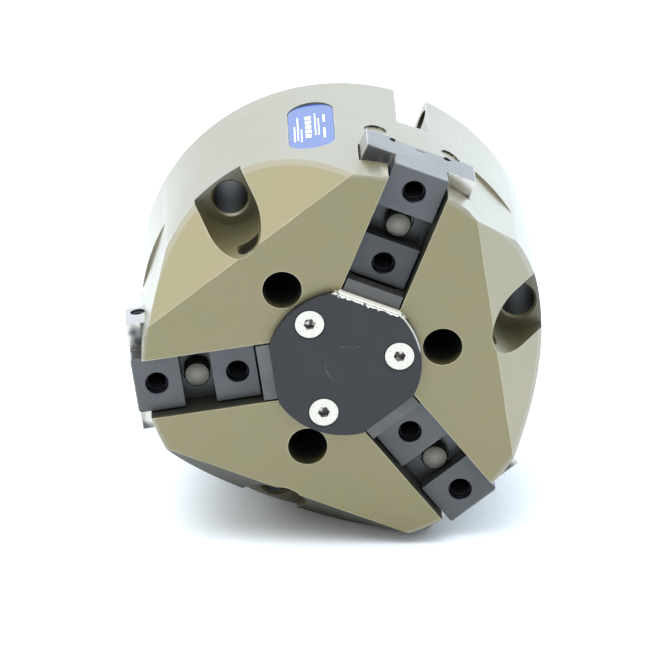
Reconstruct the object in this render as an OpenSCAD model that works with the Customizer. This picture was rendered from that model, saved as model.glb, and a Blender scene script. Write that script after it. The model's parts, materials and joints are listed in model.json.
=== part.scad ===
// Three-jaw pneumatic centric gripper, driven by a wedge hook on a double-acting piston.
// Millimetres. The origin is the centre of the rear mounting face, the jaws face -Y and +Z is up
// as the gripper lies on its round side. Depths are measured back from the front face.

/* [Body] */
// Diameter of the round housing
body_d = 153; // [151:0.5:156]
// Length of the housing from the rear mounting face to the front face
body_h = 95; // [94:0.5:98]
// Distance from the axis to the edge where each sloping facet leaves the front face
facet_r = 57.7; // [56:0.1:60]
// Slope of the three facets, from the front face
facet_angle = 60; // [56:1:64]
// Depth of the flats milled on the wall beside each jaw
wall_flat_depth = 1.4; // [0.8:0.1:1.8]

/* [Mounting] */
// Circle of the three mounting screws
mount_pcd = 135.6; // [134:0.2:138]
// Clearance hole of a mounting screw, M12
mount_hole_d = 13.5; // [13:0.1:14]
// Pocket for the head of a mounting screw
pocket_d = 22.4; // [20:0.2:23]
// Depth of the pocket floor behind the front face
pocket_depth = 34.4; // [33:0.2:38]
// Locating pin holes in the rear face
dowel_d = 8; // [6:1:8]

/* [Jaws] */
// Travel of each jaw from closed to open
jaw_stroke = 13; // [8:0.5:13]
// Travel of the piston for the whole jaw travel
piston_stroke = 16; // [14:0.5:16]
// Width of the raised blocks of a base jaw
jaw_w = 22; // [20:0.5:23]
// Width of the guide flange of a base jaw
flange_w = 44; // [42:0.5:45]
// Distance from the axis to the outer end of a closed base jaw
jaw_reach = 80.2; // [79:0.1:81]
// Depth of the top of the base jaw behind the front face
jaw_top = 5.3; // [4:0.1:6]
// Thread of the top-jaw screws, M8
jaw_thread_d = 8; // [6:1:8]
// Diameter of the locating peg in the cross groove
peg_d = 10; // [8:0.5:10]

/* [Front cover] */
// Diameter of the round front cover
cover_d = 58.6; // [57:0.1:60]
// Distance from the axis to the flats that face the jaws
cover_flat = 26.8; // [26.4:0.1:27.4]
// How far the cover stands out of the front face
cover_proud = 3.1; // [2.5:0.1:3.5]

/* [Drive] */
// Bore of the cylinder
bore_d = 58; // [56:0.5:58]
// Diameter of the piston rod
rod_d = 18; // [16:0.5:18]

/* [Hidden] */
$fn = 96;

eps = 0.5;                  // overshoot of a cutting shape
fit = 0.03;                 // gap of a fixed fit
play = 0.2;                 // gap of a guide
body_r = body_d / 2;
sector = [60, 180, 300];    // directions half way between the jaws
jaw_turn = [0, 120, 240];   // directions of the jaws

// Guides of the base jaws
flange_top = 14.1;
flange_bottom = 29.9;
neck_slot_w = 24;
groove_in = 50;             // cross groove between the two raised blocks
groove_out = 62.1;
groove_floor = 13.6;
block_in = 33.2;            // inner end of the inner block
flange_in = 26;             // the guide flange starts here, the hooked foot goes further in
mouth_in = 66;              // the guide slot is a little wider from here to the wall
mouth_play = 0.6;
thread_r = [40.55, 71.5];   // top-jaw screws
thread_depth = 18;
thread_chamfer = 0.6;
block_chamfer = 0.8;        // outer corners of the outer block
peg_r = (groove_in + groove_out) / 2;
peg_top = 8;
peg_len = 12;
channel_in = 46;            // relief channel under the outer half of the flange
channel_w = 19.6;
channel_top = 28.6;
corner_r = 1.6;             // round grooves along the corners of that channel
corner_at = [10.9, 28];     // distance from the jaw's middle, and depth
slit_w = 3.8;               // grease slit in the outer end of the flange
slit_d = [26, 26.7];
slit_len = 4;
side_hole_r = 75.4;
side_hole_depth = 25;

// Wedge hook: each lobe's outer face leans outward towards the rear
wedge_k = jaw_stroke / piston_stroke;
hook_front = 18;
hook_rear = 46;
hub_r = 9.5;
hook_r0 = 20;               // outer face of a lobe at the hook's front end
hook_head = 4.5;            // radial thickness of the head of a lobe
hook_head_w = 16;
hook_neck_w = 10;
lip = 8.5;                  // from the outer face of the head to the end of the jaw's lips
hook_play = 0.15;
function lobe_r(d) = hook_r0 + wedge_k * (d - hook_front);

// Cylinder
bulkhead_front = 46.5;
bush_rear = 49.5;
chamber_front = 52.5;
piston_front = 69;
piston_rear = 83;
bore_r = bore_d / 2;
piston_r = bore_r - 0.1;
rod_r = rod_d / 2;
seal_w = 3;
seal_mid = [72, 80];
magnet_mid = 76;
spigot_r = 7;               // end of the rod, let into the piston
spigot_len = 3;
bolt_head_r = 6.5;
bolt_head_len = 8;
bolt_seat = piston_rear - bolt_head_len - 0.5;
cover_flange_d = 90;
cover_flange_front = 87;
tie_r = 37.6;               // circle of the rear cover screws
tie_head_hole_d = 15;
tie_seat = 43;
tie_len = 50;
cover_seal_mid = 85;
cover_seal_r = 1.06;

// Front cover and its screws
cover_seat = 1.5;
cover_screw_r = 21.1;
cover_screw_len = 16;
csk_d = 11.2;
csk_hole_d = 12.3;

// Seat strips that close the inner ends of the neck slots
strip_in = 24.5;
strip_out = 32.2;
strip_bottom = 5.9;
strip_w = 22.6;

// Round-ended relief in the inner side of a screw pocket, and the chamfer of the mounting hole
relief_r = 5.2;
relief_mid = 7.5;
relief_rear = 13.5;
relief_deep = 3;
mount_chamfer = 0.8;

// Ports
port_turn = [144, 156];
port_depth = [54.6, 80.7];
port_thread_d = 8.8;
port_len = 9;
spot_d = 16;
base_port_r = 52;
base_port_d = 5;

// Rear notches, wall flats and label
notch_w = 13;
notch_in = 61.5;
notch_front = 60.5;
notch_hole_at = [70, 85.5];     // distance from the axis and depth of the cross hole
notch_hole_r = 5.3;
dimple_turn = 11.7;         // shallow round recesses in the wall, behind both sides of each jaw
dimple_mid = 47;
dimple_r = 4.4;
dimple_deep = 0.8;
flat_turn = -26.5;
flat_len = 50;
label_turn = 30;
label_w = 18;
label_len = 47.3;
label_mid = 51.65;
label_deep = 1.2;
plate_t = 0.5;

// Lying on its round side, the gripper touches the ground with the wall and one flange corner
flange_corner = norm([jaw_reach, flange_w / 2]);
roll = 30 + acos(body_r / flange_corner) + atan(flange_w / 2 / jaw_reach);

module placed() { rotate([90, 0, 0]) rotate([0, 0, roll]) children(); }
module at_turns(turns) { for (turn = turns) rotate([0, 0, turn]) children(); }

// A box along one jaw direction, between two radii and two depths
module bar(r_in, r_out, w, d_front, d_rear) {
    translate([r_in, -w / 2, body_h - d_rear]) cube([r_out - r_in, w, d_rear - d_front]);
}

// A disc on the axis between two depths
module disc(r, d_front, d_rear) {
    translate([0, 0, body_h - d_rear]) cylinder(r = r, h = d_rear - d_front);
}

// A round hole or pin parallel to the axis at a distance from it
module round_at(dist, r, d_front, d_rear) { translate([dist, 0, 0]) disc(r, d_front, d_rear); }

// A round hole or groove along one jaw direction, at a distance across it and at a depth
module radial_hole(across, depth, r, r_in, r_out) {
    translate([r_in, across, body_h - depth]) rotate([0, 90, 0]) cylinder(r = r, h = r_out - r_in);
}

// A plate of width w whose outline is given as [radius, depth] points
module rib(w, outline) {
    rotate([90, 0, 0]) linear_extrude(height = w, center = true)
        polygon([for (p = outline) [p[0], body_h - p[1]]]);
}

// A ring turned from [radius, depth] points
module turned(outline) { rotate_extrude() polygon([for (p = outline) [p[0], body_h - p[1]]]); }

// A hexagon socket, opening towards +z at the origin
module hex_socket(flats, deep) {
    translate([0, 0, -deep]) cylinder(d = flats / cos(30), h = deep + eps, $fn = 6);
}

// ---------- Housing ----------

module facet_cut() {
    translate([facet_r, 0, body_h]) rotate([0, facet_angle, 0])
        translate([-10, -body_r, 0]) cube([body_d, body_d, body_r]);
}

// A pocket open to the wall for a mounting screw's head, its chamfered hole, and a round-ended
// relief cut into the pocket's inner side
module screw_pocket() {
    pocket_r = mount_pcd / 2;
    round_at(pocket_r, pocket_d / 2, -eps, pocket_depth);
    bar(pocket_r, body_r + 5, pocket_d, -eps, pocket_depth);
    relief_in = pocket_r - pocket_d / 2 - relief_deep;
    round_at(pocket_r, mount_hole_d / 2, pocket_depth - eps, body_h + eps);
    translate([pocket_r, 0, body_h - pocket_depth - mount_chamfer]) cylinder(
        r1 = mount_hole_d / 2, r2 = mount_hole_d / 2 + mount_chamfer, h = mount_chamfer + 0.001);
    radial_hole(0, relief_mid, relief_r, relief_in, pocket_r);
    bar(relief_in, pocket_r, 2 * relief_r, relief_mid, relief_rear);
}

module cover_outline(gap) {
    intersection() {
        circle(r = cover_d / 2 + gap);
        polygon([for (k = [0 : 2])
            let (far = 2 * (cover_flat + gap)) far * [cos(60 + 120 * k), sin(60 + 120 * k)]]);
    }
}

module jaw_slot() {
    // Neck slot, then the wide guide slot, then the room of the hooked foot and of the lobe
    lobe_room = hook_head_w + 1;
    bar(strip_out + play, body_r + 10, neck_slot_w, -eps, flange_top);
    bar(strip_in - 0.1, strip_out + 0.8, neck_slot_w, -eps, strip_bottom + 0.05);
    bar(0, strip_out + 0.8, lobe_room, -eps, flange_top);
    bar(flange_in - 1.5, body_r + 10, flange_w + 2 * play, flange_top - play, flange_bottom + 0.3);
    bar(mouth_in, body_r + 10, flange_w + 2 * mouth_play, flange_top - play, flange_bottom + 0.3);
    bar(0, flange_in, jaw_w + 2 * play, flange_top - play, flange_bottom + 0.3);
    bar(0, lobe_r(hook_rear) + 1, lobe_room, flange_bottom, bulkhead_front);
}

module rear_notch() {
    bar(notch_in, body_r + 5, notch_w, notch_front, body_h + eps);
    translate([notch_hole_at[0], 0, body_h - notch_hole_at[1]]) rotate([90, 0, 0])
        cylinder(r = notch_hole_r, h = 2 * notch_w, center = true);
}

module air_port(turn, deep, inner) {
    rotate([0, 0, turn]) translate([0, 0, body_h - deep]) rotate([0, 90, 0]) {
        translate([0, 0, inner]) cylinder(r = 2, h = body_r - inner);
        translate([0, 0, body_r - 1 - port_len]) cylinder(d = port_thread_d, h = port_len + 5);
        translate([0, 0, body_r - 1]) cylinder(d = spot_d, h = 5);
    }
    rotate([0, 0, turn]) round_at(base_port_r, 2, deep, body_h - 8);
    rotate([0, 0, turn]) round_at(base_port_r, base_port_d / 2, body_h - 9, body_h + eps);
}

module obround_block(w, len, r_in, r_out) {
    rotate([0, 90, 0]) translate([0, 0, r_in]) linear_extrude(height = r_out - r_in) {
        square([len - w, w], center = true);
        for (end = [-1, 1]) translate([end * (len - w) / 2, 0]) circle(d = w);
    }
}

module housing() {
    color([0.62, 0.60, 0.52]) placed() difference() {
        turned([[0, 0], [body_r - 0.5, 0], [body_r, 0.5], [body_r, body_h - 1],
            [body_r - 1, body_h], [0, body_h]]);
        // Facets, pockets and mounting holes half way between the jaws
        at_turns(sector) {
            facet_cut();
            screw_pocket();
            round_at(tie_r, tie_head_hole_d / 2, -eps, tie_seat);
            round_at(tie_r, 4.5, tie_seat - eps, body_h);
            round_at(cover_screw_r, 3 + fit, 0, cover_screw_len - 1);
        }
        // Jaw guides, wall flats and rear notches
        at_turns(jaw_turn) {
            jaw_slot();
            rear_notch();
            rotate([0, 0, flat_turn]) bar(body_r - wall_flat_depth, body_r + 5, 60, -eps, flat_len);
            for (side = [-1, 1]) rotate([0, 0, side * dimple_turn])
                radial_hole(0, dimple_mid, dimple_r, body_r - dimple_deep, body_r + 5);
        }
        // Centre: cover seat, room of the hub, bulkhead, cylinder and rear cover seat
        translate([0, 0, body_h - cover_seat]) linear_extrude(height = cover_seat + eps)
            cover_outline(0.05);
        disc(hub_r + 2, 0, bulkhead_front);
        disc(rod_r + 2 + fit, bulkhead_front - eps, chamber_front);
        disc(rod_r + 3.5, bush_rear + 0.1, chamber_front + eps);
        disc(bore_r, chamber_front, body_h);
        disc(cover_flange_d / 2 + 0.05, cover_flange_front, body_h + eps);
        // Air ports in the wall, each with a branch to the rear face
        for (k = [0, 1]) air_port(port_turn[k], port_depth[k], bore_r - 1);
        // Locating pin holes on one diameter
        at_turns([30, 210]) round_at(62, dowel_d / 2, body_h - 10, body_h + eps);
        // Recess of the name plate
        rotate([0, 0, label_turn]) translate([0, 0, body_h - label_mid])
            obround_block(label_w, label_len, body_r - label_deep, body_r + 5);
    }
}

// ---------- Front cover ----------

module front_cover() {
    color([0.28, 0.29, 0.31]) placed() difference() {
        translate([0, 0, body_h - cover_seat]) linear_extrude(height = cover_seat + cover_proud)
            cover_outline(0);
        at_turns(sector) {
            round_at(cover_screw_r, 3.3, -cover_proud - eps, cover_seat + eps);
            translate([cover_screw_r, 0, body_h + cover_proud - 3])
                cylinder(r1 = csk_hole_d / 2 - 3, r2 = csk_hole_d / 2 + 0.001, h = 3.01);
        }
    }
}

module cover_screws() {
    csk_h = csk_d / 2 - 3;
    color([0.86, 0.87, 0.88]) placed() at_turns(sector) difference() {
        union() {
            round_at(cover_screw_r, 3, -cover_proud + 1, cover_screw_len - cover_proud);
            translate([cover_screw_r, 0, body_h + cover_proud - 0.2 - csk_h])
                cylinder(r1 = 3, r2 = csk_d / 2, h = csk_h);
        }
        translate([cover_screw_r, 0, body_h + cover_proud - 0.2]) hex_socket(4, 2.3);
    }
}

module slot_strip(turn) {
    color([0.50, 0.51, 0.52]) placed() rotate([0, 0, turn]) rib(strip_w,
        [[strip_in, cover_seat + fit], [cover_flat + 0.1, cover_seat + fit], [cover_flat + 0.1, 0],
         [strip_out, 0], [strip_out, strip_bottom], [strip_in, strip_bottom]]);
}

// ---------- Base jaws ----------

module base_jaw(turn) {
    foot = [[lobe_r(flange_top) - lip, flange_top], [flange_in + 5, flange_top],
        [flange_in + 5, flange_bottom], [lobe_r(flange_bottom) - lip, flange_bottom]];
    color([0.45, 0.46, 0.48]) placed() rotate([0, 0, turn]) difference() {
        union() {
            bar(flange_in, jaw_reach, flange_w, flange_top, flange_bottom);
            rib(jaw_w, foot);
            bar(block_in, groove_in, jaw_w, jaw_top, flange_top + 1);
            bar(groove_in - 1, groove_out + 1, jaw_w, groove_floor, flange_top + 1);
            outer_block();
        }
        // Inclined T-slot that the lobe of the wedge hook slides in
        wedge_slot(hook_head_w + 0.4, -hook_head - hook_play, hook_play);
        wedge_slot(hook_neck_w + 0.5, -lip - 5, -hook_head + 1);
        for (dist = thread_r) {
            round_at(dist, jaw_thread_d / 2, jaw_top - eps, jaw_top + thread_depth);
            translate([dist, 0, body_h - jaw_top - thread_chamfer]) cylinder(r1 = jaw_thread_d / 2,
                r2 = jaw_thread_d / 2 + thread_chamfer + 0.001, h = thread_chamfer + 0.001);
        }
        round_at(peg_r, peg_d / 2 + fit, groove_floor - eps, peg_top + peg_len + 0.5);
        round_at(peg_r, peg_d / 2 + 1, groove_floor - eps, groove_floor + 1);
        // Relief channel with grooves along its corners under the outer half, and the grease slit
        bar(channel_in, jaw_reach + eps, channel_w, channel_top, flange_bottom + eps);
        for (side = [-1, 1])
            radial_hole(side * corner_at[0], corner_at[1], corner_r, channel_in, jaw_reach + eps);
        bar(jaw_reach - slit_len, jaw_reach + eps, slit_w, slit_d[0], slit_d[1]);
        side_hole(2.8, 9);
    }
}

// The outer raised block, its two outer corners chamfered
module outer_block() {
    half = jaw_w / 2;
    cut = jaw_reach - block_chamfer;
    translate([0, 0, body_h - flange_top - 1]) linear_extrude(height = flange_top + 1 - jaw_top)
        polygon([[groove_out, -half], [cut, -half], [jaw_reach, block_chamfer - half],
            [jaw_reach, half - block_chamfer], [cut, half], [groove_out, half]]);
}

// The space of a lobe of the wedge hook, between two offsets from its outer face
module wedge_slot(w, off_in, off_out) {
    top = flange_top - 2;
    bottom = flange_bottom + 2;
    rib(w, [[lobe_r(top) + off_in, top], [lobe_r(top) + off_out, top],
        [lobe_r(bottom) + off_out, bottom], [lobe_r(bottom) + off_in, bottom]]);
}

module side_hole(r, deep) {
    translate([side_hole_r, -flange_w / 2 - eps, body_h - side_hole_depth])
        rotate([-90, 0, 0]) cylinder(r = r, h = deep + eps);
}

module jaw_peg(turn) {
    color([0.62, 0.56, 0.50]) placed() rotate([0, 0, turn]) translate([peg_r, 0, 0])
        turned([[0, peg_top], [peg_d / 2 - 0.4, peg_top], [peg_d / 2, peg_top + 0.4],
            [peg_d / 2, peg_top + peg_len], [0, peg_top + peg_len]]);
}

module jaw_side_screw(turn) {
    color([0.30, 0.30, 0.32]) placed() rotate([0, 0, turn])
        translate([side_hole_r, -flange_w / 2 + 1, body_h - side_hole_depth])
            rotate([90, 0, 0]) difference() {
                translate([0, 0, -6]) cylinder(r = 2.75, h = 6);
                hex_socket(2.5, 2.5);
            }
}

// ---------- Wedge hook and piston ----------

module wedge_hook() {
    lobe_head = [[lobe_r(hook_front) - hook_head, hook_front], [lobe_r(hook_front), hook_front],
        [lobe_r(hook_rear), hook_rear], [lobe_r(hook_rear) - hook_head, hook_rear]];
    lobe_neck = [[6, hook_front], [lobe_r(hook_front) - hook_head + 1, hook_front],
        [lobe_r(hook_rear) - hook_head + 1, hook_rear], [6, hook_rear]];
    color([0.52, 0.53, 0.55]) placed() difference() {
        union() {
            rotate([0, 0, 60]) turned([[0, hook_front], [hub_r, hook_front], [hub_r, hook_rear - 1],
                [rod_r, hook_rear - 0.5], [rod_r, piston_front], [spigot_r, piston_front],
                [spigot_r, piston_front + spigot_len], [0, piston_front + spigot_len]]);
            at_turns(jaw_turn) {
                rib(hook_neck_w, lobe_neck);
                rib(hook_head_w, lobe_head);
            }
        }
        rotate([0, 0, 60]) disc(4, chamber_front, piston_front + spigot_len + eps);
        rotate([0, 0, 60]) disc(4, hook_front - eps, flange_bottom);
    }
}

module piston() {
    color([0.72, 0.73, 0.74]) placed() difference() {
        turned([[0, piston_front], [piston_r - 1, piston_front], [piston_r, piston_front + 1],
            [piston_r, piston_rear - 1], [piston_r - 1, piston_rear], [0, piston_rear]]);
        for (mid = seal_mid) groove(mid, seal_w, bore_r - 3);
        groove(magnet_mid, seal_w, bore_r - 4);
        disc(spigot_r + fit, piston_front - eps, piston_front + spigot_len + 0.1);
        disc(4.1, piston_front, piston_rear);
        disc(bolt_head_r + 0.7, bolt_seat, piston_rear + eps);
    }
}

// A ring-shaped groove in the rim of the piston or of the rear cover
module groove(mid, w, r_in) {
    turned([[r_in, mid - w / 2], [bore_r + 1, mid - w / 2],
        [bore_r + 1, mid + w / 2], [r_in, mid + w / 2]]);
}

// A lip seal in a groove: its rim almost touches the bore
module lip_seal(mid) {
    w = seal_w / 2 - 0.1;
    color([0.12, 0.12, 0.13]) placed() turned([[bore_r - 2.95, mid - w], [bore_r - 0.5, mid - w],
        [bore_r - 0.05, mid - w + 0.8], [bore_r - 0.05, mid + w - 0.8], [bore_r - 0.5, mid + w],
        [bore_r - 2.95, mid + w]]);
}

module piston_seal_front() { lip_seal(seal_mid[0]); }
module piston_seal_rear() { lip_seal(seal_mid[1]); }

module piston_magnet() {
    w = seal_w / 2 - 0.1;
    color([0.20, 0.20, 0.22]) placed() turned([[bore_r - 3.95, magnet_mid - w],
        [bore_r - 0.6, magnet_mid - w], [bore_r - 0.6, magnet_mid + w],
        [bore_r - 3.95, magnet_mid + w]]);
}

module piston_bolt() {
    color([0.18, 0.18, 0.19]) placed() difference() {
        union() {
            disc(bolt_head_r, bolt_seat, bolt_seat + bolt_head_len);
            disc(3.95, chamber_front + 1, bolt_seat + 1);
        }
        translate([0, 0, body_h - bolt_seat - bolt_head_len]) mirror([0, 0, 1]) hex_socket(6, 4);
    }
}

module rod_bush() {
    color([0.72, 0.55, 0.30]) placed() turned([[rod_r + fit, bulkhead_front + 0.1],
        [rod_r + 2, bulkhead_front + 0.1], [rod_r + 2, bush_rear], [rod_r + fit, bush_rear]]);
}

module rod_seal() {
    color([0.12, 0.12, 0.13]) placed() turned([[rod_r + 0.02, bush_rear + 0.2],
        [rod_r + 3.45, bush_rear + 0.2],
        [rod_r + 3.45, chamber_front - 0.1], [rod_r + 0.6, chamber_front - 0.1],
        [rod_r + 0.02, chamber_front - 0.7]]);
}

// ---------- Rear cover ----------

module rear_cover() {
    color([0.66, 0.65, 0.60]) placed() difference() {
        turned([[0, piston_rear + 0.1], [bore_r - 0.5, piston_rear + 0.1],
            [bore_r - 0.05, piston_rear + 0.6], [bore_r - 0.05, cover_flange_front],
            [cover_flange_d / 2, cover_flange_front], [cover_flange_d / 2, body_h], [0, body_h]]);
        groove(cover_seal_mid, 2.6, bore_r - 2.2);
        at_turns(sector) round_at(tie_r, 4, cover_flange_front - eps, tie_seat + tie_len + 0.5);
    }
}

module rear_cover_seal() {
    color([0.12, 0.12, 0.13]) placed() translate([0, 0, body_h - cover_seal_mid])
        rotate_extrude() translate([bore_r - 0.06 - cover_seal_r, 0])
            circle(r = cover_seal_r, $fn = 24);
}

module rear_cover_screws() {
    color([0.20, 0.20, 0.21]) placed() at_turns(sector) difference() {
        union() {
            round_at(tie_r, 6.5, tie_seat - 8, tie_seat);
            round_at(tie_r, 3.95, tie_seat - 1, tie_seat + tie_len);
        }
        translate([tie_r, 0, body_h - tie_seat + 8]) hex_socket(6, 4);
    }
}

// ---------- Small parts on the housing ----------

module base_port_plugs() {
    color([0.30, 0.30, 0.32]) placed() for (turn = port_turn) rotate([0, 0, turn]) difference() {
        round_at(base_port_r, base_port_d / 2 - fit, body_h - 6.5, body_h - 0.5);
        translate([base_port_r, 0, 0.5]) mirror([0, 0, 1]) hex_socket(2.5, 2.5);
    }
}

module name_plate() {
    color([0.16, 0.30, 0.58]) placed() rotate([0, 0, label_turn])
        translate([0, 0, body_h - label_mid])
            obround_block(label_w - 0.6, label_len - 0.6, body_r - label_deep,
                body_r - label_deep + plate_t);
}

module slot_strip_1() { slot_strip(jaw_turn[0]); }
module slot_strip_2() { slot_strip(jaw_turn[1]); }
module slot_strip_3() { slot_strip(jaw_turn[2]); }
module base_jaw_1() { base_jaw(jaw_turn[0]); }
module base_jaw_2() { base_jaw(jaw_turn[1]); }
module base_jaw_3() { base_jaw(jaw_turn[2]); }
module jaw_peg_1() { jaw_peg(jaw_turn[0]); }
module jaw_peg_2() { jaw_peg(jaw_turn[1]); }
module jaw_peg_3() { jaw_peg(jaw_turn[2]); }
module jaw_side_screw_1() { jaw_side_screw(jaw_turn[0]); }
module jaw_side_screw_2() { jaw_side_screw(jaw_turn[1]); }
module jaw_side_screw_3() { jaw_side_screw(jaw_turn[2]); }

housing();
front_cover();
cover_screws();
slot_strip_1();
slot_strip_2();
slot_strip_3();
base_jaw_1();
base_jaw_2();
base_jaw_3();
jaw_peg_1();
jaw_peg_2();
jaw_peg_3();
jaw_side_screw_1();
jaw_side_screw_2();
jaw_side_screw_3();
wedge_hook();
piston();
piston_bolt();
piston_seal_front();
piston_seal_rear();
piston_magnet();
rod_bush();
rod_seal();
rear_cover();
rear_cover_seal();
rear_cover_screws();
base_port_plugs();
name_plate();
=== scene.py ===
import bpy
import json
import math
from mathutils import Euler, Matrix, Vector


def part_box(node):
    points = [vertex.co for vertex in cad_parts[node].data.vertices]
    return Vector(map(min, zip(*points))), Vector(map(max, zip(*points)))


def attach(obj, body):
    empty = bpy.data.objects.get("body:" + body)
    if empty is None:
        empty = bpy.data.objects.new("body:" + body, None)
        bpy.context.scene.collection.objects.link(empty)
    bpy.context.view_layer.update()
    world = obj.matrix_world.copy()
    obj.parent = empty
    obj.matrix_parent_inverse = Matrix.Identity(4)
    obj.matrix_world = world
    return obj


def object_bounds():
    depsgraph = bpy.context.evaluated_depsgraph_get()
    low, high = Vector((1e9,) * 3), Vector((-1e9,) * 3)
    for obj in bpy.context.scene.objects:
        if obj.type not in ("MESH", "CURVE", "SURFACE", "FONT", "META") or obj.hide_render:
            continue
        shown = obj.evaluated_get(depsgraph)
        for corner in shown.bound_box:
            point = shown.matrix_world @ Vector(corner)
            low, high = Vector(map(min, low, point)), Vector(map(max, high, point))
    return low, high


# A three-jaw pneumatic centric gripper lying on its round side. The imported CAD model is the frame:
# this script gives it its finishes, edges, threads and label, and the studio round it.

MM = 0.001
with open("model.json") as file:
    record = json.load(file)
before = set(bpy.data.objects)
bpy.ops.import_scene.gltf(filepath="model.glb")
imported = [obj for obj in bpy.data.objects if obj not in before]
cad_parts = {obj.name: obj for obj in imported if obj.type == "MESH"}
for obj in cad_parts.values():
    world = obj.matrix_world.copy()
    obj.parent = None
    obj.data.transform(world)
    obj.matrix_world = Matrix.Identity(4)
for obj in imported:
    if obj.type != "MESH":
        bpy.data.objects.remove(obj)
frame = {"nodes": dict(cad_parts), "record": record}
cad_low, cad_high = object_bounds()
record = frame["record"]
NODES = frame["nodes"]

# Places that come from the frame
FRONT_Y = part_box("housing")[0].y
FLOOR_Z = cad_low.z
AXIS = Vector((0, 1, 0))
JAW_DIRECTION = {joint["child"]: Vector(joint["axis"]) for joint in record["behaviour"]["joints"]
                 if joint["child"].startswith("jaw")}

# Camera: looks down on the front face, a little from its left
CAMERA_DROP = 23.17          # degrees below the horizon
CAMERA_TURN = -1.587         # degrees about the vertical
CAMERA_OFFSET = Vector((-4.4, 10.9, 2513.3)) * MM   # right, up and back from the front face's centre
CAMERA_LENS = 360.4
SENSOR = 36.0

# Painted shade in the front's openings: radius, the depths between which it grows, the depth it ends at,
# all in mm, and how dark it gets
SHADED_OPENINGS = {"tie_screw_well": (7.65, 0.2, 6, 94, 0.95), "screw_hole": (7.0, 34.9, 36, 94, 0.80),
          "screw_pocket": (11.3, 1, 24, 34.7, 0.55)}

# Measures of the housing, in mm. A depth is behind the front face, a reach is out from the axis.
RELIEF_HALF = 5.3            # half width of the relief in a pocket's inner side
RELIEF_REACH = 56.3
RELIEF_DEPTH = 14
SLOT_HALF = 12.05            # half width of a jaw's neck slot
SLOT_REACH = 23
SLOT_DEPTH = 14
FLAT_TURN = math.radians(-26.5)     # from the first jaw to the flat milled on the wall beside it
FLAT_REACH = 75.1
FLAT_DEPTH = 50              # where the flat ends
CROSS_HOLE_REACH = 70        # the cross holes of the rear notches
CROSS_HOLE_DEPTH = 85.5
CROSS_HOLE_R = 5.4
NOTCH_HALF = 6.5
WALL_REACH = 75.0            # just inside the round wall

# Measures of the cover, in mm
COVER_FACE = 98.2            # distance of the cover's face from the rear face
MARK_R = 7.2                 # a round rub mark in the middle
CHIPPED_REACH = 25.3         # where the chipped rim towards the first jaw starts
CRACK_REACH = 26.15
ROUND_RIM_TURN = 0.55        # radians, from the right-hand side to the round stretch of the rim, lighter partly from chipping, partly from a painted highlight

# Measures of a jaw, in mm
BLOCK_HALF = 10.9            # half width of the blocks
BLOCK_TOP = 5.32             # depth of their top
FLANGE_HALF = 21.5
FLANGE_TOP = 13.8
FLANGE_OUTSIDE = 74          # where the flange comes out of the housing
HOLE_R = 4.7                 # the threaded holes, darkened with painted shade
HOLE_DEPTH = 24
PEG_R = 5.0
RING_PITCH = 0.55            # turning marks on the peg

# Threads
TURN_STEPS = 40
JAW_PITCH = 1.25
PORT_PITCH = 0.907
THREAD_START = 0.9           # turns left free at the mouth
THREAD_END = 0.8             # turns left free at the bottom
THREAD_DEPTH = 0.54          # share of the pitch

# Bars on the name plate, in mm. Rows run along the gripper's axis: place across, length as a share of
# the longest, width, offset along the axis.
PLATE_LENGTH = 34
PLATE_ROWS = ((-6.4, 0.46, 0.55, -6.0), (-5.1, 0.70, 0.55, -1.0), (-3.8, 0.38, 0.55, -8.0),
              (1.6, 0.66, 0.5, 2.0), (2.9, 0.50, 0.5, -1.0), (5.0, 0.30, 0.8, -8.0),
              (5.0, 0.22, 0.8, 7.0))
BLOCKS = 5                   # a row of wider blocks
BLOCK_STEP = 4.6
BLOCK_SIZE = (2.3, 3.5)
BLOCKS_ACROSS = -1.1
BAR_THICK = 0.05


# ---------- Shader helpers ----------

def add(tree, kind, inputs=None, **settings):
    """A shader node with its settings and inputs; an input is a value or another node's socket."""
    made = tree.nodes.new(kind)
    for key, value in settings.items():
        setattr(made, key, value)
    for key, value in (inputs or {}).items():
        if isinstance(value, bpy.types.NodeSocket):
            tree.links.new(value, made.inputs[key])
        else:
            made.inputs[key].default_value = value
    return made


def blank(name, **constants):
    """A material, its tree, its shader with constants set on its own sockets, and object coordinates."""
    mat = bpy.data.materials.new(name)
    mat.use_nodes = True
    tree = mat.node_tree
    shader = tree.nodes["Principled BSDF"]
    for key, value in constants.items():
        shader.inputs[key.replace("_", " ")].default_value = value
    place = add(tree, "ShaderNodeTexCoord").outputs["Object"]
    return mat, tree, shader, place


def wire(tree, shader, **sockets):
    """Links values to the shader's sockets of those names."""
    for key, value in sockets.items():
        tree.links.new(value, shader.inputs[key.replace("_", " ")])


def noise_at(tree, place, scale, detail=3.0, stretch=None, rough=0.5):
    """Noise of that many features per metre, stretched by a factor along each axis."""
    if stretch:
        place = add(tree, "ShaderNodeMapping", {"Vector": place, "Scale": stretch}).outputs[0]
    return add(tree, "ShaderNodeTexNoise", {"Vector": place, "Scale": scale, "Detail": detail,
                                            "Roughness": rough}).outputs["Fac"]


def span(tree, value, low, high, to_low=0.0, to_high=1.0):
    """value from low..high to to_low..to_high, clamped."""
    return add(tree, "ShaderNodeMapRange", {"Value": value, "From Min": low, "From Max": high,
                                            "To Min": to_low, "To Max": to_high}).outputs[0]


def rise(tree, value, low, high, amount=1.0):
    """0 where a length is below low mm, and amount where it is above high mm."""
    return span(tree, value, low * MM, high * MM, 0.0, amount)


def fall(tree, value, low, high, amount=1.0):
    """amount where a length is below low mm, and 0 where it is above high mm."""
    return span(tree, value, low * MM, high * MM, amount, 0.0)


def calc(tree, operation, a, b=0.0):
    return add(tree, "ShaderNodeMath", {0: a, 1: b}, operation=operation).outputs[0]


def times(tree, first, *others):
    for other in others:
        first = calc(tree, "MULTIPLY", first, other)
    return first


def most(tree, first, *others):
    for other in others:
        first = calc(tree, "MAXIMUM", first, other)
    return first


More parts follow.
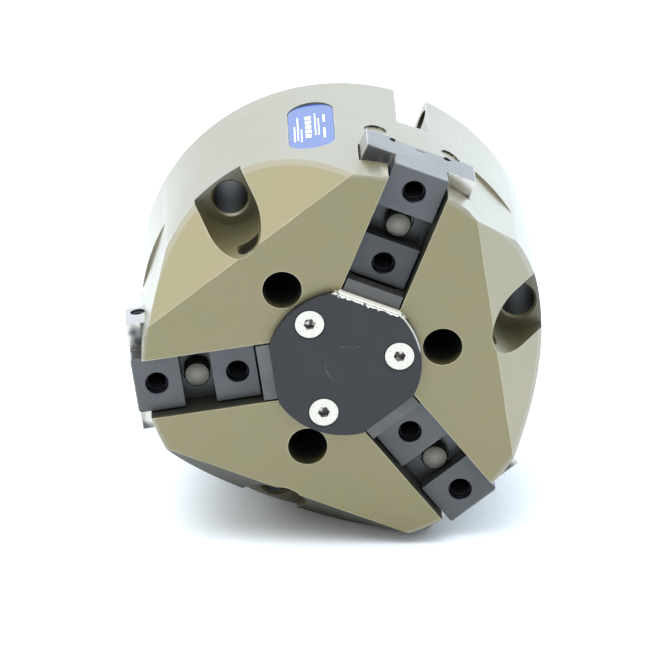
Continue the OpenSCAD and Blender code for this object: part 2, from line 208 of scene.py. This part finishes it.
def off(tree, value, middle):
    """How far a length is from middle mm, either way."""
    return calc(tree, "ABSOLUTE", calc(tree, "SUBTRACT", value, middle * MM))


def blend_colour(tree, factor, first, second):
    made = add(tree, "ShaderNodeMix", data_type="RGBA")
    for socket, value in ((made.inputs[0], factor), (made.inputs[6], first), (made.inputs[7], second)):
        if isinstance(value, bpy.types.NodeSocket):
            tree.links.new(value, socket)
        else:
            socket.default_value = value
    return made.outputs[2]


def edge_mask(tree, radius, low=0.02, high=0.25):
    """1 on edges and corners, 0 on open faces."""
    soft = add(tree, "ShaderNodeBevel", {"Radius": radius}, samples=4).outputs[0]
    true = add(tree, "ShaderNodeNewGeometry").outputs["Normal"]
    same = add(tree, "ShaderNodeVectorMath", {0: soft, 1: true}, operation="DOT_PRODUCT")
    return span(tree, calc(tree, "SUBTRACT", 1.0, same.outputs["Value"]), low, high)


def bump(tree, shader, height, depth):
    wire(tree, shader, Normal=add(tree, "ShaderNodeBump", {"Height": height, "Distance": depth,
                                                           "Strength": 1.0}).outputs[0])


def along(tree, place, direction):
    """How far place lies along a direction."""
    return add(tree, "ShaderNodeVectorMath", {0: place, 1: tuple(direction)},
               operation="DOT_PRODUCT").outputs["Value"]


def depth_at(tree, place):
    """Depth behind the front face."""
    return calc(tree, "SUBTRACT", along(tree, place, AXIS), FRONT_Y)


def beside(tree, place, way):
    """Distance to either side of the plane through the axis and a direction."""
    return calc(tree, "ABSOLUTE", along(tree, place, way.cross(AXIS)))


def off_axis(tree, place, centre=(0, 0, 0)):
    """Distance from a line that runs along the gripper's axis through centre."""
    shifted = add(tree, "ShaderNodeVectorMath", {0: place, 1: (centre[0], 0, centre[2])},
                  operation="SUBTRACT").outputs[0]
    flat = add(tree, "ShaderNodeVectorMath", {0: shifted, 1: (1, 0, 1)}, operation="MULTIPLY")
    return add(tree, "ShaderNodeVectorMath", {0: flat.outputs[0]}, operation="LENGTH").outputs["Value"]


# ---------- Soil on the housing ----------

def openings(kind):
    """The centre of each opening of one kind, and the direction from the axis to it."""
    for opening in record["physics"]["openings"]:
        if opening["name"][:-2] == kind:
            low, high = (Vector(corner) for corner in opening["box_m"])
            centre = (low + high) / 2
            yield centre, Vector((centre.x, 0, centre.z)).normalized()


def in_wells(tree, place):
    """How much painted shade darkens the screw wells, pockets and mounting holes, and the relief in each
    pocket.
    """
    total = 0.0
    depth = depth_at(tree, place)
    for kind, (radius, start, full, last, amount) in SHADED_OPENINGS.items():
        for centre, way in openings(kind):
            inside = fall(tree, off_axis(tree, place, centre), radius - 0.1, radius)
            if kind == "screw_pocket":
                # The pocket runs out through the wall between straight sides
                lane = fall(tree, beside(tree, place, way), radius - 0.1, radius)
                reach = centre.dot(way)
                outer = span(tree, along(tree, place, way), reach - 0.1 * MM, reach)
                inside = most(tree, inside, times(tree, lane, outer))
            painted_shade = times(tree, inside, rise(tree, depth, start, full, amount),
                         fall(tree, depth, last, last + 0.1))
            total = most(tree, painted_shade, total)
    # Painted shade in the relief on each pocket's inner side
    for centre, way in openings("screw_pocket"):
        relief = times(tree, fall(tree, beside(tree, place, way), RELIEF_HALF, RELIEF_HALF + 0.1),
                       fall(tree, along(tree, place, way), RELIEF_REACH, RELIEF_REACH + 0.2),
                       rise(tree, depth, 0.6, 2, 0.75),
                       fall(tree, depth, RELIEF_DEPTH, RELIEF_DEPTH + 1))
        total = most(tree, relief, total)
    return total


def in_slots(tree, place):
    """How much painted shade darkens the walls of the jaws' neck slots, where the jaws shade them."""
    total = 0.0
    for direction in JAW_DIRECTION.values():
        narrow = fall(tree, beside(tree, place, direction), SLOT_HALF, SLOT_HALF + 0.2)
        outer = rise(tree, along(tree, place, direction), SLOT_REACH, SLOT_REACH + 1)
        total = most(tree, times(tree, narrow, outer), total)
    depth = depth_at(tree, place)
    return times(tree, total, fall(tree, depth, SLOT_DEPTH, SLOT_DEPTH + 0.5),
                 rise(tree, depth, 0.3, 1.6, 0.9))


def in_cross_holes(tree, place):
    """How much painted shade darkens the cross holes of the rear notches."""
    total = 0.0
    back = calc(tree, "SUBTRACT", depth_at(tree, place), CROSS_HOLE_DEPTH * MM)
    for centre, way in openings("rear_notch"):
        out = calc(tree, "SUBTRACT", along(tree, place, way), CROSS_HOLE_REACH * MM)
        away = calc(tree, "SQRT", calc(tree, "ADD", times(tree, out, out), times(tree, back, back)))
        hole = times(tree, fall(tree, away, CROSS_HOLE_R, CROSS_HOLE_R + 0.1, 0.75),
                     rise(tree, beside(tree, place, way), NOTCH_HALF, NOTCH_HALF + 0.3))
        total = most(tree, hole, total)
    return times(tree, total, fall(tree, off_axis(tree, place), WALL_REACH + 0.6, WALL_REACH + 0.9))


def on_step(tree, place):
    """How much painted shade darkens the step where the milled flat beside the first jaw ends."""
    direction = JAW_DIRECTION["jaw_1"]
    way = direction * math.cos(FLAT_TURN) - direction.cross(AXIS) * math.sin(FLAT_TURN)
    return times(tree, rise(tree, along(tree, place, way), FLAT_REACH - 0.1, FLAT_REACH),
                 fall(tree, off(tree, depth_at(tree, place), FLAT_DEPTH), 0.15, 0.3, 0.85),
                 fall(tree, off_axis(tree, place), WALL_REACH + 1.3, WALL_REACH + 1.42))


# ---------- Materials ----------

def anodised():
    """Bead-blasted, hard-anodised aluminium: olive grey, mottled, lighter on its edges from wear and a
    painted edge highlight, with painted shade on its underside and in its openings, slots and steps.
    """
    mat, tree, shader, place = blank("anodised_housing", Metallic=0.30, Specular_IOR_Level=0.7,
                                     Coat_Roughness=0.34, Coat_IOR=1.6)
    patches = noise_at(tree, place, 38, 4)
    fine = noise_at(tree, place, 420, 3)
    base = blend_colour(tree, span(tree, patches, 0.35, 0.65), (0.169, 0.129, 0.033, 1),
                        (0.161, 0.140, 0.036, 1))
    # The turned wall is greyer than the milled faces
    wall = rise(tree, off_axis(tree, place), WALL_REACH - 0.3, WALL_REACH)
    base = blend_colour(tree, wall, base, (0.200, 0.180, 0.104, 1))
    speck = blend_colour(tree, span(tree, fine, 0.60, 0.85, 0.0, 0.15), base, (0.30, 0.27, 0.18, 1))
    # Lighter edges: partly wear, partly a painted edge highlight
    wear_and_highlight = times(tree, edge_mask(tree, 0.6 * MM, 0.02, 0.20),
                 span(tree, noise_at(tree, place, 90), 0.3, 0.7, 0.2, 0.8))
    # Painted shade on the faces turned down, which are also made rougher
    normal = add(tree, "ShaderNodeNewGeometry").outputs["Normal"]
    under = span(tree, along(tree, normal, (0, 0, 1)), -0.75, -0.55, 0.85, 0.0)
    # Painted shade in the wells, pockets, neck slots and cross holes and on the step; with the
    # underside's painted shade it also thins the coat
    shade_painters = (in_wells, in_slots, in_cross_holes, on_step)
    dark = most(tree, under, *(painted_shade(tree, place) for painted_shade in shade_painters))
    with_painted_shade = blend_colour(tree, dark, blend_colour(tree, wear_and_highlight, speck, (0.70, 0.68, 0.58, 1)),
                          (0.024, 0.029, 0.030, 1))
    rough = calc(tree, "ADD", span(tree, patches, 0.3, 0.7, 0.40, 0.50), times(tree, under, 0.5))
    wire(tree, shader, Base_Color=with_painted_shade, Roughness=rough,
         Coat_Weight=span(tree, dark, 0.0, 0.9, 0.85, 0.15))
    grain = calc(tree, "ADD", noise_at(tree, place, 2600, 2), times(tree, fine, 0.6))
    bump(tree, shader, grain, 0.020 * MM)
    return mat


def dark_cover():
    """Blackened steel cover: scuffed in the middle, its coat chipped along the rim over one jaw, and a
    painted highlight on the round stretch of rim beside it.
    """
    mat, tree, shader, place = blank("dark_cover", Metallic=0.2, Specular_IOR_Level=0.44)
    patches = noise_at(tree, place, 60, 4)
    base = blend_colour(tree, span(tree, patches, 0.35, 0.65), (0.014, 0.014, 0.016, 1),
                        (0.020, 0.020, 0.023, 1))
    scuff = noise_at(tree, place, 240, 5, stretch=(1.0, 1.0, 3.2), rough=0.7)
    centre = add(tree, "ShaderNodeVectorMath", {0: place}, operation="LENGTH").outputs["Value"]
    near = fall(tree, centre, COVER_FACE, COVER_FACE + 1.4)
    ring = times(tree, fall(tree, off(tree, off_axis(tree, place), MARK_R), 0.12, 0.35),
                 rise(tree, along(tree, place, (-0.95, 0, 0.3)), -3, 4))
    rubbed = times(tree, ring, span(tree, noise_at(tree, place, 130), 0.40, 0.55, 0.1, 0.8))
    marks = times(tree, most(tree, span(tree, scuff, 0.63, 0.74), rubbed), near)
    marked = blend_colour(tree, times(tree, marks, 0.5), base, (0.16, 0.17, 0.18, 1))
    # The chipped rim: only near the flat that faces the first jaw; and the round stretch beside it,
    # lighter partly from chipping, partly from a painted highlight
    reach = along(tree, place, JAW_DIRECTION["jaw_1"])
    ragged = noise_at(tree, place, 500, 4, rough=0.7)
    line = calc(tree, "ADD", reach, span(tree, ragged, 0.3, 0.7, -0.9 * MM, 0.9 * MM))
    chipped = rise(tree, line, CHIPPED_REACH, CHIPPED_REACH + 0.3)
    turn = Vector((math.cos(ROUND_RIM_TURN), 0, math.sin(ROUND_RIM_TURN)))
    rim = times(tree, rise(tree, along(tree, place, turn), 26.6, 27.6),
                edge_mask(tree, 1.1 * MM, 0.004, 0.03))
    crack = calc(tree, "ADD", reach, span(tree, ragged, 0.3, 0.7, -0.25 * MM, 0.25 * MM))
    crack = span(tree, off(tree, crack, CRACK_REACH), 0.08 * MM, 0.22 * MM, 0.15, 1.0)
    bright_marks = times(tree, most(tree, chipped, rim), crack)
    wear_and_highlight = most(tree, bright_marks, times(tree, edge_mask(tree, 0.3 * MM), 0.25))
    rough = calc(tree, "ADD", span(tree, patches, 0.3, 0.7, 0.36, 0.46), times(tree, marks, 0.12))
    wire(tree, shader, Roughness=rough,
         Base_Color=blend_colour(tree, wear_and_highlight, marked, (0.86, 0.84, 0.74, 1)))
    height = calc(tree, "ADD", noise_at(tree, place, 1800, 2), times(tree, bright_marks, -2.0))
    bump(tree, shader, height, 0.012 * MM)
    return mat


def steel(name, dark, light, roughness, metallic=0.9, lay=(1.0, 1.0, 1.0)):
    """Ground or turned steel: long fine marks along the lay, edges brighter partly from wear, partly
    from a painted edge highlight.
    """
    mat, tree, shader, place = blank(name, Metallic=metallic, Specular_IOR_Level=0.5)
    base = blend_colour(tree, span(tree, noise_at(tree, place, 70, 3), 0.3, 0.7), dark, light)
    lines = noise_at(tree, place, 900, 2, stretch=lay)
    # Brighter edges: partly wear, partly a painted edge highlight
    wear_and_highlight = times(tree, edge_mask(tree, 0.3 * MM), 0.4)
    pale = tuple(min(1.0, 2.2 * c + 0.12) for c in light[:3]) + (1,)
    wire(tree, shader, Base_Color=blend_colour(tree, wear_and_highlight, base, pale),
         Roughness=span(tree, lines, 0.3, 0.7, roughness - 0.05, roughness + 0.07))
    bump(tree, shader, lines, 0.010 * MM)
    return mat


def jaw_steel(name, direction, corners, shaded_reach=0.0):
    """Base jaw: dark nitrided blocks on top, their edges lighter partly from wear, partly from a painted
    highlight, and bright ground faces on the flange under them. Painted shade darkens its inner end as
    far out as the reach given."""
    mat, tree, shader, place = blank(name, Specular_IOR_Level=0.55)
    depth = depth_at(tree, place)
    reach = along(tree, place, direction)
    across = beside(tree, place, direction)
    patches = span(tree, noise_at(tree, place, 70, 4), 0.3, 0.7)
    dark = blend_colour(tree, patches, (0.064, 0.068, 0.070, 1), (0.084, 0.088, 0.090, 1))
    # Painted shade on the first jaw's inner end
    inner_shade = span(tree, reach, shaded_reach - 1 * MM, shaded_reach, 0.42, 0.0)
    dark = blend_colour(tree, inner_shade, dark, (0.008, 0.009, 0.008, 1))
    bright = blend_colour(tree, patches, (0.44, 0.42, 0.38, 1), (0.55, 0.53, 0.48, 1))
    # Ground faces: the flange's top outside the housing, broken by painted dark reflections that lie
    # more on one wing, its sides and the end face
    dark_reflections = calc(tree, "ADD", noise_at(tree, place, 130, 1),
                 span(tree, along(tree, place, direction.cross(AXIS)), 10 * MM, 12 * MM, -0.06, 0.17))
    wings = times(tree, rise(tree, across, BLOCK_HALF, BLOCK_HALF + 0.3),
                  rise(tree, depth, FLANGE_TOP, FLANGE_TOP + 0.15),
                  fall(tree, depth, FLANGE_TOP + 0.6, FLANGE_TOP + 0.8),
                  rise(tree, reach, FLANGE_OUTSIDE, FLANGE_OUTSIDE + 1),
                  span(tree, dark_reflections, 0.48, 0.66, 1.0, 0.0))
    sides = rise(tree, across, FLANGE_HALF, FLANGE_HALF + 0.2, 0.8)
    tip = max(corner.dot(direction) for corner in corners)
    end = span(tree, reach, tip - 0.6 * MM, tip - 0.3 * MM, 0.0, 0.28)
    ground = most(tree, wings, sides, end)
    # Lighter block edges: partly wear, partly a painted edge highlight
    top = blend_colour(tree, times(tree, edge_mask(tree, 0.25 * MM), 0.6), dark, (0.42, 0.43, 0.45, 1))
    face = blend_colour(tree, ground, top, bright)
    # Painted shade in the threaded holes, tinted navy
    hole = 0.0
    for mount in record["mounts"]:
        if mount["name"].startswith(name.replace("steel_", "")):
            from_hole = off_axis(tree, place, mount["pos_m"])
            hole = most(tree, fall(tree, from_hole, HOLE_R, HOLE_R + 0.1), hole)
    hole = times(tree, hole, rise(tree, depth, BLOCK_TOP, BLOCK_TOP + 0.28, 0.96),
                 fall(tree, depth, HOLE_DEPTH, HOLE_DEPTH + 0.5))
    lines = noise_at(tree, place, 2200, 2, stretch=(1.0, 6.0, 1.0))
    rough = calc(tree, "SUBTRACT", span(tree, lines, 0.3, 0.7, 0.32, 0.42), times(tree, ground, 0.17))
    wire(tree, shader, Base_Color=blend_colour(tree, hole, face, (0.008, 0.008, 0.020, 1)),
         Metallic=most(tree, span(tree, ground, 0.0, 1.0, 0.55, 0.95), hole), Roughness=rough)
    bump(tree, shader, lines, 0.003 * MM)
    return mat


def turned_peg(name, centre):
    """Hardened peg with the rings of its turned end round its own axis, and painted shade darkening its
    domed end towards the rim.
    """
    mat, tree, shader, place = blank(name, Metallic=0.85, Specular_IOR_Level=0.5)
    radius = off_axis(tree, place, centre)
    wobble = times(tree, noise_at(tree, place, 300), 0.3 * MM)
    phase = times(tree, calc(tree, "ADD", radius, wobble), 2 * math.pi / (RING_PITCH * MM))
    rings = calc(tree, "SINE", phase)
    tone = span(tree, rings, -1, 1)
    turned = blend_colour(tree, tone, (0.118, 0.115, 0.090, 1), (0.158, 0.153, 0.122, 1))
    # Painted shade, darker towards the rim of the domed end
    rim = rise(tree, radius, 1.0, PEG_R - 0.1, 0.85)
    wire(tree, shader, Base_Color=blend_colour(tree, rim, turned, (0.045, 0.043, 0.036, 1)),
         Roughness=span(tree, tone, 0, 1, 0.24, 0.34))
    dome = times(tree, calc(tree, "POWER", calc(tree, "DIVIDE", radius, PEG_R * MM), 2.0), -7.0)
    bump(tree, shader, calc(tree, "ADD", times(tree, rings, 0.10), dome), 0.09 * MM)
    return mat


def zinc():
    """Bright zinc plating of the cover screws, with faint turning marks; painted shade darkens the
    sockets and painted glints fleck them.
    """
    mat, tree, shader, place = blank("zinc_screw", Metallic=0.55, Specular_IOR_Level=0.6)
    fine = noise_at(tree, place, 900, 4)
    base = blend_colour(tree, span(tree, fine, 0.35, 0.7), (0.56, 0.54, 0.48, 1), (0.65, 0.61, 0.54, 1))
    # Painted glints on painted shade in the sockets
    bright_marks = span(tree, noise_at(tree, place, 650, 2), 0.50, 0.58)
    socket = blend_colour(tree, bright_marks, (0.045, 0.044, 0.040, 1), (0.60, 0.58, 0.52, 1))
    sunk = rise(tree, depth_at(tree, place), -2.6, -1.2)
    wire(tree, shader, Base_Color=blend_colour(tree, sunk, base, socket),
         Roughness=span(tree, fine, 0.3, 0.7, 0.26, 0.40))
    bump(tree, shader, fine, 0.012 * MM)
    return mat


def rubber():
    mat, tree, shader, place = blank("seal", Specular_IOR_Level=0.3)
    fine = noise_at(tree, place, 800, 3)
    base = blend_colour(tree, fine, (0.012, 0.012, 0.013, 1), (0.030, 0.030, 0.032, 1))
    wire(tree, shader, Base_Color=base, Roughness=span(tree, fine, 0.3, 0.7, 0.55, 0.75))
    bump(tree, shader, fine, 0.02 * MM)
    return mat


def printed(name, dark, light, roughness):
    """Printed foil of the name plate or of its bars."""
    mat, tree, shader, place = blank(name, Specular_IOR_Level=0.6, Coat_Weight=0.5, Coat_Roughness=0.12)
    patches = span(tree, noise_at(tree, place, 120, 3), 0.3, 0.7)
    wire(tree, shader, Base_Color=blend_colour(tree, patches, dark, light),
         Roughness=span(tree, patches, 0.0, 1.0, roughness, roughness + 0.08))
    bump(tree, shader, noise_at(tree, place, 1500, 2), 0.006 * MM)
    return mat


# ---------- Finishes on the CAD pieces ----------

def round_edges(piece, width):
    """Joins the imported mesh's faces again and rounds its sharp edges."""
    weld = piece.modifiers.new("weld", "WELD")
    weld.merge_threshold = 0.002 * MM
    flat = piece.modifiers.new("flat_faces", "DECIMATE")
    flat.decimate_type = "DISSOLVE"
    flat.angle_limit = math.radians(0.2)
    soft = piece.modifiers.new("edges", "BEVEL")
    soft.width = width
    soft.segments = 2
    soft.limit_method = "ANGLE"
    soft.angle_limit = math.radians(24)
    soft.use_clamp_overlap = True
    shade = piece.modifiers.new("shading", "WEIGHTED_NORMAL")
    shade.weight = 60
    shade.keep_sharp = False


# Edge radius of each node, in mm; of a base jaw and a slot strip; and of everything else
EDGES = {"housing": 0.30, "front_cover": 0.30, "cover_screws": 0.15, "rear_cover": 0.25,
         "wedge_hook": 0.25, "piston": 0.2, "name_plate": 0.05}
JAW_EDGE = 0.35
STRIP_EDGE = 0.2
SMALL_EDGE = 0.08


def cad_finishes():
    """The finish of each CAD node."""
    anodised_mat = anodised()
    black = steel("black_screw", (0.030, 0.030, 0.033, 1), (0.055, 0.055, 0.060, 1), 0.40, metallic=0.4)
    strip = steel("strip_steel", (0.076, 0.074, 0.071, 1), (0.114, 0.110, 0.104, 1), 0.36, metallic=0.6,
                  lay=(1, 6, 1))
    seal = rubber()
    finishes = {
        "housing": anodised_mat, "rear_cover": anodised_mat, "front_cover": dark_cover(),
        "cover_screws": zinc(), "piston_bolt": black, "rear_cover_screws": black,
        "base_port_plugs": black,
        "wedge_hook": steel("hardened_steel", (0.36, 0.37, 0.39, 1), (0.48, 0.49, 0.51, 1), 0.26,
                            lay=(1, 8, 1)),
        "piston": steel("bare_aluminium", (0.60, 0.61, 0.62, 1), (0.72, 0.73, 0.74, 1), 0.30,
                        lay=(1, 12, 1)),
        "rod_bush": steel("bronze_bush", (0.46, 0.28, 0.10, 1), (0.58, 0.38, 0.17, 1), 0.42),
        "piston_magnet": steel("magnet", (0.05, 0.05, 0.06, 1), (0.09, 0.09, 0.10, 1), 0.5,
                               metallic=0.3),
        "name_plate": printed("label", (0.010, 0.045, 0.210, 1), (0.014, 0.065, 0.270, 1), 0.22),
    }
    for name in NODES:
        if "seal" in name:
            finishes[name] = seal
        elif name.startswith("slot_strip"):
            finishes[name] = strip
        elif name.startswith("jaw_side_screw"):
            finishes[name] = black
    for body, direction in JAW_DIRECTION.items():
        number = body[-1]
        low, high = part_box("jaw_peg_" + number)
        centre = (low + high) / 2
        corners = [vertex.co for vertex in NODES["base_jaw_" + number].data.vertices]
        # How far out painted shade darkens the first jaw's inner end
        shaded_reach = centre.dot(direction) + 6 * MM if number == "1" else 0.0
        finishes["base_jaw_" + number] = jaw_steel("jaw_steel_" + number, direction, corners, shaded_reach)
        finishes["jaw_peg_" + number] = turned_peg("peg_steel_" + number, centre)
    return finishes


def finish_cad_pieces():
    finishes = cad_finishes()
    for name, piece in NODES.items():
        piece.data.materials.clear()
        piece.data.materials.append(finishes[name])
        small = {"base_jaw": JAW_EDGE, "slot_strip": STRIP_EDGE}.get(name[:-2], SMALL_EDGE)
        if "seal" not in name:
            round_edges(piece, EDGES.get(name, small) * MM)


# ---------- Threads ----------

def mesh_piece(name, points, faces, mat, smooth=True):
    mesh = bpy.data.meshes.new(name)
    mesh.from_pydata(points, [], faces)
    mesh.validate()
    mesh.materials.append(mat)
    for face in mesh.polygons:
        face.use_smooth = smooth
    piece = bpy.data.objects.new(name, mesh)
    bpy.context.scene.collection.objects.link(piece)
    return piece


def thread_ridge(name, mouth, outward, radius, length, pitch, mat):
    """The helical ridge of an inside thread: a closed sweep that fades out at both ends."""
    turns = length / pitch - THREAD_START - THREAD_END
    steps = int(turns * TURN_STEPS)
    depth = THREAD_DEPTH * pitch
    root = radius + 0.01 * MM
    first = outward.orthogonal().normalized()
    second = outward.cross(first)
    points = []
    for i in range(steps + 1):
        angle = 2 * math.pi * i / TURN_STEPS
        grown = min(1.0, i / (TURN_STEPS / 2), (steps - i) / (TURN_STEPS / 2))
        ray = first * math.cos(angle) + second * math.sin(angle)
        down = mouth - outward * (pitch * (THREAD_START + i / TURN_STEPS))
        crest = radius - depth * max(grown, 0.03)
        for out, lift in ((root, 0.42), (crest, 0.08), (crest, -0.08), (root, -0.42)):
            points.append(down + ray * out + outward * (lift * pitch))
    faces = []
    for i in range(steps):
        for k in range(4):
            a, b = 4 * i + k, 4 * i + (k + 1) % 4
            faces.append((a, b, b + 4, a + 4))
    faces.append((3, 2, 1, 0))
    faces.append(tuple(4 * steps + k for k in range(4)))
    return mesh_piece(name, points, faces, mat)


def threads():
    """A ridge in each threaded mount: M8 in the jaws, a fine pipe thread in the air ports."""
    # Very dark steel: painted shade that keeps the threaded holes dark
    mat = steel("oiled_thread", (0.012, 0.012, 0.015, 1), (0.022, 0.022, 0.027, 1), 0.30)
    for mount in record["mounts"]:
        if mount["kind"] != "threaded_hole":
            continue
        outward = Vector(mount["axis"])
        length = mount["dims"]["length_mm"] * MM
        mouth = Vector(mount["pos_m"]) + outward * (length / 2)
        in_jaw = mount["name"].startswith("jaw")
        ridge = thread_ridge("thread_" + mount["name"], mouth, outward, mount["dims"]["r_mm"] * MM,
                             length, (JAW_PITCH if in_jaw else PORT_PITCH) * MM, mat)
        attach(ridge, mount["name"][:5] if in_jaw else "housing")


# ---------- Name plate ----------

def plate_bars():
    """Plain white bars on the plate, where a name plate is printed."""
    low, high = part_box("name_plate")
    centre = (low + high) / 2
    normal = Vector((centre.x, 0, centre.z)).normalized()
    side = AXIS.cross(normal)
    plate_top = max(normal.dot(vertex.co) for vertex in NODES["name_plate"].data.vertices)
    base = normal * (plate_top + 0.01 * MM) + AXIS * centre.y
    points, faces = [], []

    def bar(across, back, width, length):
        start = len(points)
        for lift in (0, BAR_THICK):
            for a, b in ((-1, -1), (1, -1), (1, 1), (-1, 1)):
                points.append(base + (side * (across + a * width / 2) + AXIS * (back + b * length / 2)
                                      + normal * lift) * MM)
        faces.append(tuple(start + k for k in (3, 2, 1, 0)))
        faces.append(tuple(start + k for k in (4, 5, 6, 7)))
        faces.extend([(start + k, start + (k + 1) % 4, start + 4 + (k + 1) % 4, start + 4 + k)
                      for k in range(4)])

    for across, share, width, back in PLATE_ROWS:
        bar(across, back, width, share * PLATE_LENGTH)
    for k in range(BLOCKS):
        bar(BLOCKS_ACROSS, (k - (BLOCKS - 1) / 2) * BLOCK_STEP, *BLOCK_SIZE)
    mat = printed("label_bars", (0.66, 0.72, 0.80, 1), (0.80, 0.84, 0.88, 1), 0.3)
    piece = mesh_piece("name_plate_bars", points, faces, mat, smooth=False)
    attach(piece, "housing")


# ---------- Studio ----------

def softbox(name, place, size, watts, tint=(1, 1, 1)):
    """A square light that faces the object."""
    light = bpy.data.objects.new(name, bpy.data.lights.new(name, "AREA"))
    light.data.shape = "RECTANGLE"
    light.data.size = light.data.size_y = size
    light.data.energy = watts
    light.data.color = tint
    light.location = place
    light.rotation_euler = (-Vector(place)).to_track_quat("-Z", "Y").to_euler()
    bpy.context.scene.collection.objects.link(light)


def studio_world():
    """A bright room: brightest and bluest behind the object, up and to the right."""
    world = bpy.data.worlds.new("studio")
    bpy.context.scene.world = world
    world.use_nodes = True
    tree = world.node_tree
    tree.nodes.clear()
    way = add(tree, "ShaderNodeTexCoord").outputs["Generated"]
    back = along(tree, way, (0.42, 0.74, 0.52))
    level = span(tree, back, -0.8, 0.9, 0.27, 1.93)
    tint = blend_colour(tree, span(tree, back, -0.4, 0.8), (1.0, 0.965, 0.89, 1), (0.84, 0.94, 1.08, 1))
    shade = add(tree, "ShaderNodeBackground", {"Color": tint, "Strength": level})
    add(tree, "ShaderNodeOutputWorld", {"Surface": shade.outputs[0]})


def studio_floor():
    """A wide, pale, matt floor."""
    mat, tree, shader, place = blank("studio_floor", Roughness=0.6, Specular_IOR_Level=0.2)
    tone = span(tree, noise_at(tree, place, 3), 0.3, 0.7)
    pale = blend_colour(tree, tone, (0.92, 0.96, 0.97, 1), (0.945, 0.98, 0.99, 1))
    wire(tree, shader, Base_Color=pale)
    reach = 6.0
    corners = [(x * reach, y * reach, FLOOR_Z) for x, y in ((-1, -1), (1, -1), (1, 1), (-1, 1))]
    mesh_piece("studio_floor", corners, [(0, 1, 2, 3)], mat, smooth=False)


def studio():
    bpy.context.scene.view_settings.view_transform = "Standard"
    studio_world()
    studio_floor()
    softbox("overhead", (-0.35, -0.2, 1.5), 1.5, 24.3, (0.94, 0.98, 1.07))
    softbox("left_key", (-1.5, 0.15, 0.75), 1.0, 6.3, (0.97, 1.0, 1.0))
    softbox("front_fill", (-0.9, -1.9, 1.0), 1.4, 2)
    softbox("right_fill", (1.25, 1.1, 0.6), 1.0, 4.5, (0.80, 0.93, 1.10))


def camera():
    scene = bpy.context.scene
    turn = Euler((math.radians(90 - CAMERA_DROP), 0, math.radians(CAMERA_TURN)))
    made = bpy.data.objects.new("camera", bpy.data.cameras.new("camera"))
    made.data.lens = CAMERA_LENS
    made.data.sensor_width = SENSOR
    made.data.clip_start = 0.1
    made.data.clip_end = 50
    made.rotation_euler = turn
    made.location = Vector((0, FRONT_Y, 0)) + turn.to_matrix() @ CAMERA_OFFSET
    scene.collection.objects.link(made)
    scene.camera = made


camera()
studio()
finish_cad_pieces()
threads()
plate_bars()
